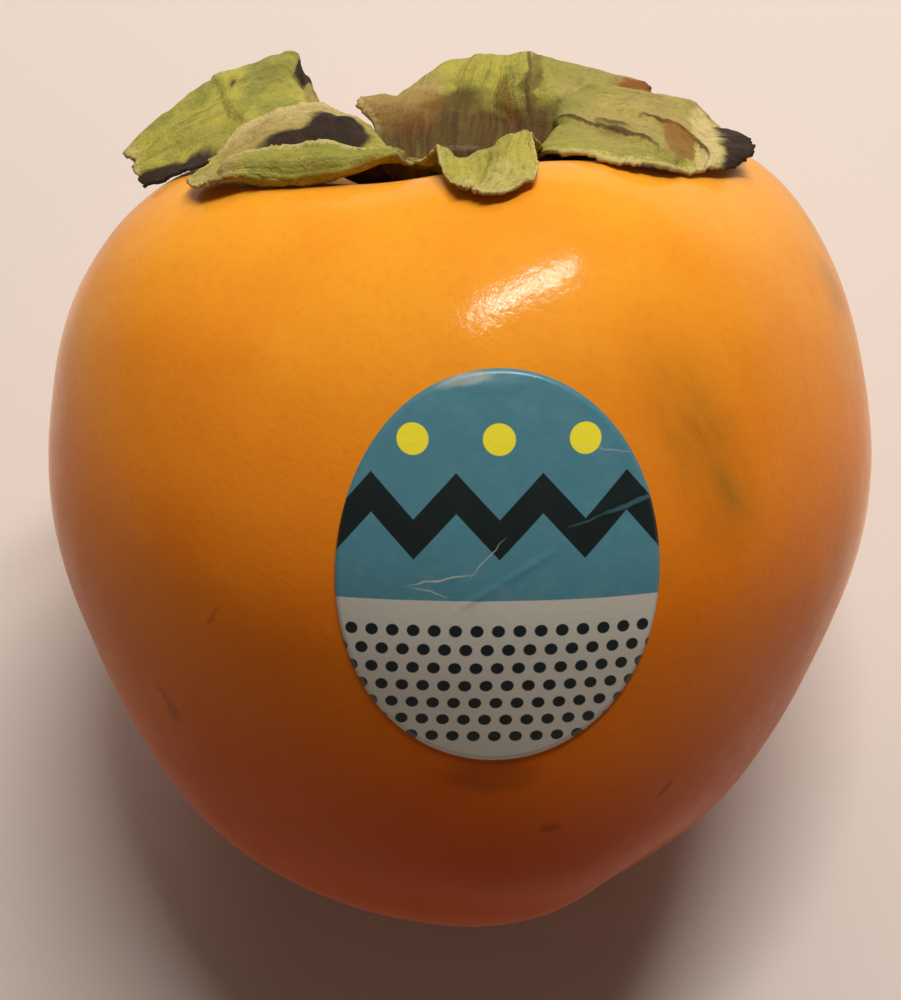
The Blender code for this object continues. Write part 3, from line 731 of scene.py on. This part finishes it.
# Stains and painted shade on each lobe: which colour, where its middle is across and along the lobe, its reach and
# its share. The black ones, which are burnt tips and painted shade in hollows and curls, and the rusty ones have
# sharp edges, and lie over all else.
LATE_STAINS = ("black_and_painted_shade", "rust")
STAINS = {
    "back_lobe": [
        ("yellow", (0.48, 0.6), (0.34, 0.22), 0.7),
        ("tan", (0.93, 0.55), (0.18, 0.34), 0.9),
        ("tan", (0.1, 0.38), (0.24, 0.34), 0.95),
        ("rust", (0.14, 0.3), (0.18, 0.2), 0.35),
        ("brown", (0.5, 0.05), (0.9, 0.34), 1.0),
        ("brown", (0.35, 0.32), (0.2, 0.1), 0.8),
        ("brown", (0.6, 0.36), (0.08, 0.12), 0.6),
        ("brown", (0.74, 0.42), (0.028, 0.45), 0.65),
        ("rust", (0.64, 0.3), (0.04, 0.14), 0.4),
        ("green", (0.84, 0.64), (0.14, 0.2), 0.6),
        ("rust", (1.03, 0.5), (0.12, 0.22), 1.0),
    ],
    "right_lobe": [
        ("yellow", (0.92, 0.3), (0.16, 0.3), 0.5),
        ("green", (0.85, 0.42), (0.22, 0.28), 0.6),
        ("tan", (0.45, 0.5), (0.6, 0.55), 0.65),
        ("green", (0.25, 0.3), (0.25, 0.25), 0.5),
        ("green", (0.5, 0.16), (0.6, 0.18), 0.8),
        ("pale", (0.6, 0.82), (0.8, 0.12), 1.0),
        ("rust", (0.8, 0.66), (0.16, 0.1), 0.7),
        ("black_and_painted_shade", (0.5, 1.06), (1.6, 0.2), 1.0),
    ],
    "front_lobe": [
        ("yellow", (0.5, 0.6), (0.7, 0.6), 0.7),
        ("pale", (0.6, 0.85), (0.6, 0.3), 0.4),
        ("green", (0.45, 0.55), (0.12, 0.3), 0.5),
    ],
    "left_back_lobe": [
        ("yellow", (0.15, 0.7), (0.28, 0.22), 0.4),
        ("green", (0.36, 0.5), (0.22, 0.14), 0.6),
        ("yellow", (0.2, 0.93), (0.2, 0.1), 0.8),
        ("tan", (0.75, 0.18), (0.16, 0.1), 1.0),
        ("brown", (0.38, 0.67), (0.025, 0.012), 0.9),
        # Painted shade inside the curl where the lobe rolls over near its root
        ("black_and_painted_shade", (0.62, 0.33), (0.24, 0.1), 1.0),
        ("black_and_painted_shade", (-0.02, 0.85), (0.15, 0.28), 1.0),
    ],
    "left_front_lobe": [
        ("green", (0.1, 0.45), (0.28, 0.3), 0.6),
        ("tan", (0.92, 0.6), (0.2, 0.7), 0.9),
        ("pale", (0.92, 0.66), (0.16, 0.5), 0.7),
        ("tan", (0.2, 0.88), (0.5, 0.18), 0.8),
        ("tan", (0.2, 0.03), (0.3, 0.1), 0.9),
        ("tan", (0.72, 0.74), (0.24, 0.24), 0.9),
        # The two black marks below are painted shade in the hollow of the lobe's trough
        ("black_and_painted_shade", (0.76, 0.38), (0.19, 0.17), 1.0),
        ("black_and_painted_shade", (0.67, 0.52), (0.11, 0.19), 1.0),
    ],
}


def stained(f, place, fibre, colour, settings, name, late):
    """The colour with the lobe's early or late stains laid over it; the late black ones include painted shade in
    hollows. The leaf's fibre streaks the early ones.
    """
    for stain, centre, reach, share in STAINS[name]:
        if (stain in LATE_STAINS) == late:
            mark = f.patch(place, (*centre, 0.0), (*reach, 1.0), soft=0.25 if late else 0.55)
            share = share if late else f.calc("MULTIPLY", fibre, share)
            colour = f.laid_over(colour, getattr(settings, stain), mark, share)
    return colour


def leaf_finish(name, settings):
    """Dried leaf: green and tan mottling, stains at set places, painted shade in hollows, veins, fine crackle and
    pale crisp edges.
    """
    f = Finish("dried_leaf_" + name)
    place = f.fruit_place()
    sheet = f.sheet_place()
    mottle = f.noise(place, 0.3, 4.0, 0.6)
    colour = f.mix(f.ramp(mottle, 0.38, 0.66), settings.green, settings.yellow)
    veins = f.node("TexVoronoi", {"Vector": f.warped(place, 0.8, 1.2), "Scale": 0.6}, feature="DISTANCE_TO_EDGE")
    net = f.ramp(veins, 0.0, 0.12, 1.0, 0.0)
    colour = f.laid_over(colour, settings.pale, net, 0.12)
    ragged = f.warped(sheet, 7.0, 0.12, 4.0)
    split = f.warped(sheet, 16.0, 0.02, 4.0)
    fibre = f.ramp(f.noise(f.stretched(sheet, (34.0, 4.0, 1.0)), 1.0, 4.0, 0.6), 0.35, 0.62, 0.84, 1.0)
    colour = stained(f, ragged, fibre, colour, settings, name, late=False)
    for line, _, _, _, share in FOLDS[name]:
        for (u0, v0), (u1, v1) in zip(line, line[1:]):
            middle = (0.5 * (u0 + u1), 0.5 * (v0 + v1), 0.0)
            reach = (0.75 * math.hypot(u1 - u0, v1 - v0), CRACK_WIDTH, 1.0)
            mark = f.patch(split, middle, reach, (0.0, 0.0, math.atan2(v1 - v0, u1 - u0)), 0.6)
            colour = f.laid_over(colour, settings.brown, mark, share)
    speckle = f.noise(place, 1.6, 5.0, 0.7)
    colour = f.mix(f.ramp(speckle, 0.52, 0.72, 0.0, 0.45), colour, settings.brown)
    streak = f.noise(f.stretched(sheet, (26.0, 3.0, 1.0)), 1.0, 4.0, 0.6)
    colour = f.mix(f.ramp(streak, 0.5, 0.7, 0.0, 0.35), colour, settings.brown)
    across = f.part(sheet, "X")
    along = f.part(sheet, "Y")
    side = f.calc("MINIMUM", across, f.calc("SUBTRACT", 1.0, across))
    edge = f.calc("MINIMUM", side, f.calc("SUBTRACT", 1.0, along))
    edge = f.calc("ADD", edge, f.ramp(speckle, 0.3, 0.7, -0.02, 0.02))
    colour = f.laid_over(colour, settings.pale, f.ramp(edge, 0.0, 0.035, 0.75, 0.0), f.ramp(along, 0.1, 0.3))
    # Late stains: burnt tips and rust, and black painted shade in hollows and curls
    colour = stained(f, ragged, fibre, colour, settings, name, late=True)
    grain = f.calc("ADD", f.noise(place, 3.5, 5.0, 0.65), f.calc("MULTIPLY", streak, 1.2))
    relief = f.calc("ADD", f.calc("MULTIPLY", net, 0.12), grain)
    normal = f.bump(relief, 0.0003, 0.8)
    return f.put(
        Base_Color=colour,
        Roughness=f.ramp(speckle, 0.3, 0.7, 0.58, 0.8),
        Specular_IOR_Level=0.25,
        Normal=normal,
        Subsurface_Weight=0.05,
        Subsurface_Radius=(1.0, 0.7, 0.3),
        Subsurface_Scale=0.0006,
    )


def bowl_finish(settings):
    """The middle of the calyx: brown, with fibres that run out from the stalk and a darker ring round it."""
    f = Finish("dried_leaf_bowl")
    place = f.fruit_place()
    flat = f.node("VectorMath", {0: place, 1: (1.0, 1.0, 0.0)}, operation="MULTIPLY")
    radius = f.node("VectorMath", {0: flat}, output="Value", operation="LENGTH")
    outward = f.node("VectorMath", {0: flat}, operation="NORMALIZE")
    ray = f.node("VectorMath", {0: outward, "Scale": 9.0}, operation="SCALE")
    shift = f.node("CombineXYZ", {2: f.calc("MULTIPLY", radius, 0.3)})
    ray = f.node("VectorMath", {0: ray, 1: shift}, operation="ADD")
    fibre = f.noise(ray, 1.0, 5.0, 0.65)
    crust = f.noise(place, 0.8, 5.0, 0.7)
    colour = f.mix(f.ramp(fibre, 0.35, 0.65), settings.brown, settings.tan)
    colour = f.mix(f.ramp(crust, 0.35, 0.65, 0.75, 0.35), colour, settings.brown)
    colour = f.mix(f.ramp(radius, 3.4, 5.4, 0.8, 0.0), colour, settings.black_and_painted_shade)
    relief = f.calc("ADD", fibre, f.calc("MULTIPLY", crust, 0.5))
    return f.put(
        Base_Color=colour, Roughness=0.85, Specular_IOR_Level=0.25, Normal=f.bump(relief, 0.0006, 0.9)
    )


def bowl_rows():
    """Rings of the bowl: out along its upper face and back along its underside."""
    count = (len(BOWL) - 1) * BOWL_STEPS
    upper, under = [], []
    for k in range(count + 1):
        share = k / count
        radius = smooth_value([r for r, _ in BOWL], share)
        height = smooth_value([h for _, h in BOWL], share)
        thick = BOWL_THICKNESS + (BOWL_RIM_THICKNESS - BOWL_THICKNESS) * share**3
        upper.append((radius, height))
        under.append((radius, height - thick))
    rows = []
    for radius, height in upper + under[::-1]:
        row = []
        for azimuth in around(BOWL_ROUND_STEPS if radius > 0.0 else 1):
            ray = noise.noise(ring_point(7.0, azimuth, 0.2 * radius))
            lift = Vector((0.0, 0.0, 0.22 * ray * fade(radius, 1.0, 6.0)))
            row.append(ring_point(radius, azimuth, height) + lift)
        rows.append(row)
    return rows


class PERSIMMON_OT_calyx(bpy.types.Operator):
    """Grows the dried leaves of the calyx and the bowl that they spring from"""

    bl_idname = "persimmon.calyx"
    bl_label = "Calyx"

    def execute(self, context):
        settings = context.scene.persimmon_calyx
        bowl = turned_mesh("calyx_bowl", bowl_rows())
        add_piece("calyx_bowl", bowl, "calyx", bowl_finish(settings))
        for k, (name, rows) in enumerate(LOBES_OF_CALYX.items()):
            place = Vector((10.0 * k, 0.0, 0.0))
            sheet = lobe_sheet(name, rows, place, settings.wrinkles / MM)
            mesh = thickened(sheet, settings.thickness / MM, 0.0)
            add_piece("calyx_" + name, mesh, "calyx", leaf_finish(name, settings))
        return {"FINISHED"}


def bark_finish(settings):
    """Dark split bark, with a paler cut end."""
    f = Finish("stalk_bark")
    place = f.fruit_place()
    grain = f.noise(f.stretched(place, (1.6, 1.6, 0.35)), 1.6, 5.0, 0.65)
    colour = f.mix(f.ramp(grain, 0.35, 0.7, 0.0, 0.55), settings.bark, settings.cut)
    end = f.ramp(f.part(place, "Z"), STALK_TOP - 0.5, STALK_TOP - 0.1)
    rings = f.noise(f.stretched(place, (2.0, 2.0, 0.2)), 1.0, 3.0)
    wood = f.mix(f.ramp(rings, 0.35, 0.65), settings.bark, settings.cut)
    colour = f.mix(end, colour, wood)
    return f.put(Base_Color=colour, Roughness=0.9, Normal=f.bump(grain, 0.0005, 0.9))


class PERSIMMON_OT_stalk(bpy.types.Operator):
    """Stands the rough stub of the stalk in the calyx"""

    bl_idname = "persimmon.stalk"
    bl_label = "Stalk"

    def execute(self, context):
        rows = [[Vector((0.0, 0.0, STALK_FOOT))]]
        for k in range(STALK_RINGS + 1):
            share = k / STALK_RINGS
            height = STALK_FOOT + (STALK_TOP - STALK_FOOT) * share
            flare = (STALK_FOOT_RADIUS - STALK_RADIUS) * (1.0 - fade(share, 0.15, 0.5))
            rounding = 0.5 * fade(share, 0.88, 1.0) ** 2
            row = []
            for azimuth in around(STALK_ROUND_STEPS):
                ridge = noise.noise(ring_point(3.0, azimuth, 0.25 * height))
                radius = STALK_RADIUS + flare - rounding + 0.28 * ridge - 0.1
                row.append(ring_point(radius, azimuth, height))
            rows.append(row)
        rows.append([Vector((0.0, 0.0, STALK_TOP - 0.15))])
        mesh = turned_mesh("stalk_stub", rows)
        add_piece("stalk_stub", mesh, "stalk", bark_finish(context.scene.persimmon_stalk))
        return {"FINISHED"}


def meridian_height(start, distance):
    """The height reached by walking that distance up the fruit's side from a starting height."""
    step = 0.25
    height = start
    for walked in [step] * int(abs(distance) / step) + [abs(distance) % step]:
        slope = (side_radius(height + step) - side_radius(height - step)) / (2.0 * step)
        height += math.copysign(walked / math.hypot(1.0, slope), distance)
    return height


def side_point(azimuth, height, depth):
    """A point of the uneven skin on the fruit's side."""
    point = skin_point(side_radius(height), height, azimuth)
    return point * (1.0 + depth * uneven(point) / point.length)


def side_normal(azimuth, height, depth):
    """The direction straight out of the uneven skin on the fruit's side."""
    small = 0.4
    turn = small / side_radius(height)
    around = side_point(azimuth + turn, height, depth) - side_point(azimuth - turn, height, depth)
    up = side_point(azimuth, height + small, depth) - side_point(azimuth, height - small, depth)
    return around.cross(up).normalized()


# Creases in the sticker, as two ends, width and height of the fold, in millimetres from its middle
CREASES = [
    ((9.0, 6.4), (15.0, 8.4), 0.45, 0.16),
    ((-3.0, -2.2), (5.0, 2.8), 0.35, 0.06),
    ((-2.5, 18.2), (2.0, 18.6), 0.5, 0.1),
]


def crease_lift(x, y):
    """How far the sticker stands off the skin along its creases."""
    lift = 0.0
    for start, end, width, rise in CREASES:
        away = off_line((x, y), start, end)[0] / width
        lift += rise * math.exp(-away * away)
    return lift


def sticker_sheet(settings, depth):
    """The sticker's sheet on the skin, with a UV map that runs from 0 to 1 over its width and height."""
    half_width = settings.half_width / MM
    half_height = settings.half_height / MM
    shape = bmesh.new()
    uv = shape.loops.layers.uv.new("sheet")
    rings, spots = [], {}
    for ring in range(STICKER_RINGS + 1):
        share = ring / STICKER_RINGS
        row = []
        for turn in around(STICKER_SPOKES if ring else 1):
            x = share * math.cos(turn)
            y = share * math.sin(turn)
            height = meridian_height(STICKER_HEIGHT, y * half_height)
            azimuth = STICKER_AZIMUTH + x * half_width / side_radius(height)
            lift = STICKER_GAP + crease_lift(x * half_width, y * half_height)
            normal = side_normal(azimuth, height, depth)
            vert = shape.verts.new(side_point(azimuth, height, depth) + normal * lift)
            spots[vert] = (0.5 + 0.5 * x, 0.5 + 0.5 * y)
            row.append(vert)
        rings.append(row)
    for inner, outer in zip(rings, rings[1:]):
        for k in range(STICKER_SPOKES):
            after = (k + 1) % STICKER_SPOKES
            outside = (outer[k], outer[after])
            face = shape.faces.new((inner[k], *outside, inner[after]) if len(inner) > 1 else (inner[0], *outside))
            for loop in face.loops:
                loop[uv].uv = spots[loop.vert]
    return mesh_from(shape, "paper_sticker")


# Sticker's print, in millimetres from its middle: the join of its fields, the zigzag, discs, dots, and scuffs and
# painted shade along a crease, with their colour, middle, reach, turn in degrees and share
JOIN_HEIGHT = -1.9
ZIGZAG_HEIGHT = 4.0
ZIGZAG_HALF_WIDTH = 1.9
BRIGHT_DISCS = [((-8.0, 13.4), 1.5), ((0.0, 13.4), 1.5), ((8.0, 13.4), 1.5)]
DOT_PITCH = 2.0
DOT_RADIUS = 0.62
DOTS_HEIGHT = -11.0
DOTS_HALF_WIDTH = 7.0
SOFT_LINE = 0.06
SCUFFS_AND_CREASE_SHADE = [
    ("paper", (-5.5, 0.2), (4.0, 0.14), 10.0, 0.7),
    ("paper", (-6.5, -1.0), (2.6, 0.12), -14.0, 0.5),
    ("paper", (-1.2, 2.2), (3.4, 0.1), 50.0, 0.5),
    ("paper", (-3.0, 18.9), (3.4, 0.8), 12.0, 0.4),
    # The two shade lines below are painted shadow along the crease at the right
    ("shade", (12.4, 7.0), (4.2, 0.34), 17.0, 0.9),
    ("shade", (8.0, 5.6), (2.4, 0.14), 20.0, 0.7),
    ("paper", (10.0, 12.2), (3.6, 0.1), -8.0, 0.25),
]


def disc(f, x, y, centre, radius):
    """1 on a round disc and 0 outside it."""
    corner = f.node("CombineXYZ", {0: f.calc("SUBTRACT", x, centre[0]), 1: f.calc("SUBTRACT", y, centre[1])})
    away = f.node("VectorMath", {0: corner}, output="Value", operation="LENGTH")
    return f.ramp(away, radius - SOFT_LINE, radius + SOFT_LINE, 1.0, 0.0)


def dots(f, x, y, pitch, radius):
    """1 on round dots in staggered rows, and 0 between them."""
    row = f.calc("FLOOR", f.calc("DIVIDE", y, pitch))
    odd = f.calc("FLOORED_MODULO", row, 2.0)
    shifted = f.calc("MULTIPLY_ADD", odd, 0.5 * pitch, x)
    off_x = f.calc("SUBTRACT", f.calc("FLOORED_MODULO", shifted, pitch), 0.5 * pitch)
    off_y = f.calc("SUBTRACT", f.calc("FLOORED_MODULO", y, pitch), 0.5 * pitch)
    return disc(f, off_x, off_y, (0.0, 0.0), radius)


def band(f, value, middle, half_width):
    """1 where the value is within a half width of the middle."""
    off = f.calc("ABSOLUTE", f.calc("SUBTRACT", value, middle))
    return f.ramp(off, half_width - SOFT_LINE, half_width + SOFT_LINE, 1.0, 0.0)


def paper_finish(settings):
    """Coated paper: a coloured field with a bold zigzag and discs, over a bare one with staggered dots."""
    f = Finish("sticker_paper")
    sheet = f.sheet_place()
    size = (2.0 * settings.half_width / MM, 2.0 * settings.half_height / MM, 1.0)
    corner = (-0.5 * size[0], -0.5 * size[1], 0.0)
    place = f.node("Mapping", {"Vector": sheet, "Location": corner, "Scale": size}, vector_type="POINT")
    x = f.part(place, "X")
    y = f.part(place, "Y")
    wear = f.noise(place, 0.35, 5.0, 0.65)
    over = f.ramp(y, JOIN_HEIGHT - SOFT_LINE, JOIN_HEIGHT + SOFT_LINE)
    field = f.mix(f.ramp(wear, 0.45, 0.75, 0.0, 0.06), settings.field, settings.paper)
    field = f.mix(f.ramp(y, 0.0, 16.0, 0.0, 0.35), field, settings.shade)
    zigzag = f.calc("MULTIPLY_ADD", f.calc("PINGPONG", x, 4.0), 1.1, ZIGZAG_HEIGHT)
    field = f.mix(band(f, y, zigzag, ZIGZAG_HALF_WIDTH), field, settings.dark)
    for centre, radius in BRIGHT_DISCS:
        field = f.mix(disc(f, x, y, centre, radius), field, settings.bright)
    dotted = band(f, y, DOTS_HEIGHT, DOTS_HALF_WIDTH)
    bare = f.laid_over(settings.paper, settings.dark, dots(f, x, y, DOT_PITCH, DOT_RADIUS), dotted)
    colour = f.mix(over, bare, field)
    loose = f.warped(place, 0.5, 0.8)
    # Scuffs, and painted shadow along the crease
    for kind, centre, reach, turn, share in SCUFFS_AND_CREASE_SHADE:
        scuff_and_shade = f.patch(loose, (*centre, 0.0), (*reach, 1.0), (0.0, 0.0, math.radians(turn)), 0.6)
        colour = f.laid_over(colour, getattr(settings, kind), scuff_and_shade, share)
    return f.put(
        Base_Color=colour,
        Roughness=f.ramp(wear, 0.3, 0.7, 0.26, 0.38),
        Normal=f.bump(f.noise(place, 1.2, 4.0, 0.6), 0.00006, 0.5),
    )


class PERSIMMON_OT_sticker(bpy.types.Operator):
    """Lays the oval paper sticker on the skin"""

    bl_idname = "persimmon.sticker"
    bl_label = "Sticker"

    def execute(self, context):
        settings = context.scene.persimmon_sticker
        depth = context.scene.persimmon_skin.relief / MM
        mesh = thickened(sticker_sheet(settings, depth), settings.thickness / MM, 1.0)
        add_piece("paper_sticker", mesh, "sticker", paper_finish(settings))
        return {"FINISHED"}


def floor_finish(settings):
    """A plain pale cloth-like floor."""
    f = Finish("pale_floor")
    place = f.node("TexCoord", {}, output="Object")
    broad = f.noise(place, 6.0, 3.0, 0.5)
    colour = f.mix(f.ramp(broad, 0.3, 0.7, 0.0, 0.06), settings.floor, settings.floor_shade)
    weave = f.noise(place, 1800.0, 2.0, 0.5)
    return f.put(Base_Color=colour, Roughness=0.85, Normal=f.bump(weave, 0.0002, 0.1))


def aimed(location, target, up):
    """A matrix for a lamp or camera at a location that looks at a target, with its top towards up."""
    back = (location - target).normalized()
    right = up.cross(back).normalized()
    top = back.cross(right)
    turn = Matrix((right, top, back)).transposed().to_4x4()
    return Matrix.Translation(location) @ turn


def add_lamp(scene, name, direction, along, size, power):
    """Adds a soft rectangular lamp that shines on the fruit from a direction, with its length along another."""
    data = bpy.data.lights.new(name, "AREA")
    data.shape = "RECTANGLE"
    data.size, data.size_y = size
    data.energy = power
    data.color = LAMP_COLOUR
    lamp = linked(name, data)
    middle = MIDDLE_OF_GIRTH * MM
    place = middle + direction.normalized() * scene.persimmon_stage.lamp_distance
    lamp.matrix_world = aimed(place, middle, direction.cross(along))
    return lamp


class PERSIMMON_OT_stage(bpy.types.Operator):
    """Sets the pale floor, the two soft lamps, the light all round and the camera"""

    bl_idname = "persimmon.stage"
    bl_label = "Stage"

    def execute(self, context):
        settings = context.scene.persimmon_stage
        scene = context.scene
        mesh = bpy.data.meshes.new("floor")
        corners = [(x * FLOOR_REACH, y * FLOOR_REACH, 0.0) for x, y in ((-1, -1), (1, -1), (1, 1), (-1, 1))]
        mesh.from_pydata(corners, [], [(0, 1, 2, 3)])
        mesh.materials.append(floor_finish(settings))
        floor = linked("floor", mesh)
        strip_size = (settings.strip_length, settings.strip_width)
        add_lamp(scene, "strip_lamp", STRIP_FROM, STRIP_ALONG, strip_size, settings.strip_power)
        soft_size = (settings.soft_size, settings.soft_size)
        soft = add_lamp(scene, "soft_lamp", SOFT_FROM, STRIP_ALONG, soft_size, settings.soft_power)
        soft.visible_glossy = False
        world = bpy.data.worlds.new("light_all_round")
        world.use_nodes = True
        background = world.node_tree.nodes["Background"]
        background.inputs["Color"].default_value = (*FILL_COLOUR, 1.0)
        background.inputs["Strength"].default_value = settings.fill
        scene.world = world
        scene.view_settings.view_transform = "Standard"
        scene.view_settings.look = "None"
        camera_data = bpy.data.cameras.new("camera")
        camera_data.lens = CAMERA_LENS
        camera_data.sensor_width = 36.0
        camera_data.clip_start = 0.01
        camera = linked("camera", camera_data)
        target = SET_DOWN @ CAMERA_TARGET
        away = Vector((0.0, -math.cos(CAMERA_ELEVATION), math.sin(CAMERA_ELEVATION)))
        camera.matrix_world = aimed(target + away * CAMERA_DISTANCE, target, Vector((0.0, 0.0, 1.0)))
        scene.camera = camera
        return {"FINISHED"}


class PERSIMMON_PT_panel(bpy.types.Panel):
    """Lists the persimmon's pieces with their settings"""

    bl_idname = "PERSIMMON_PT_panel"
    bl_label = "Persimmon"
    bl_space_type = "VIEW_3D"
    bl_region_type = "UI"
    bl_category = "Persimmon"

    def draw(self, context):
        for step in STEPS:
            box = self.layout.box()
            box.operator("persimmon." + step)
            settings = getattr(context.scene, "persimmon_" + step)
            for name in settings.__annotations__:
                box.prop(settings, name)


STEPS = {
    "skin": (SkinSettings, PERSIMMON_OT_skin),
    "calyx": (CalyxSettings, PERSIMMON_OT_calyx),
    "stalk": (StalkSettings, PERSIMMON_OT_stalk),
    "sticker": (StickerSettings, PERSIMMON_OT_sticker),
    "stage": (StageSettings, PERSIMMON_OT_stage),
}
CLASSES = [made for pair in STEPS.values() for made in pair] + [PERSIMMON_PT_panel]


def register():
    for made in CLASSES:
        bpy.utils.register_class(made)
    for step, (settings, _) in STEPS.items():
        setattr(bpy.types.Scene, "persimmon_" + step, PointerProperty(type=settings))


def unregister():
    for step in STEPS:
        delattr(bpy.types.Scene, "persimmon_" + step)
    for made in reversed(CLASSES):
        bpy.utils.unregister_class(made)


def main():
    register()
    bpy.ops.persimmon.skin()
    bpy.ops.persimmon.calyx()
    bpy.ops.persimmon.stalk()
    bpy.ops.persimmon.sticker()
    bpy.ops.persimmon.stage()


if __name__ == "__main__":
    main()
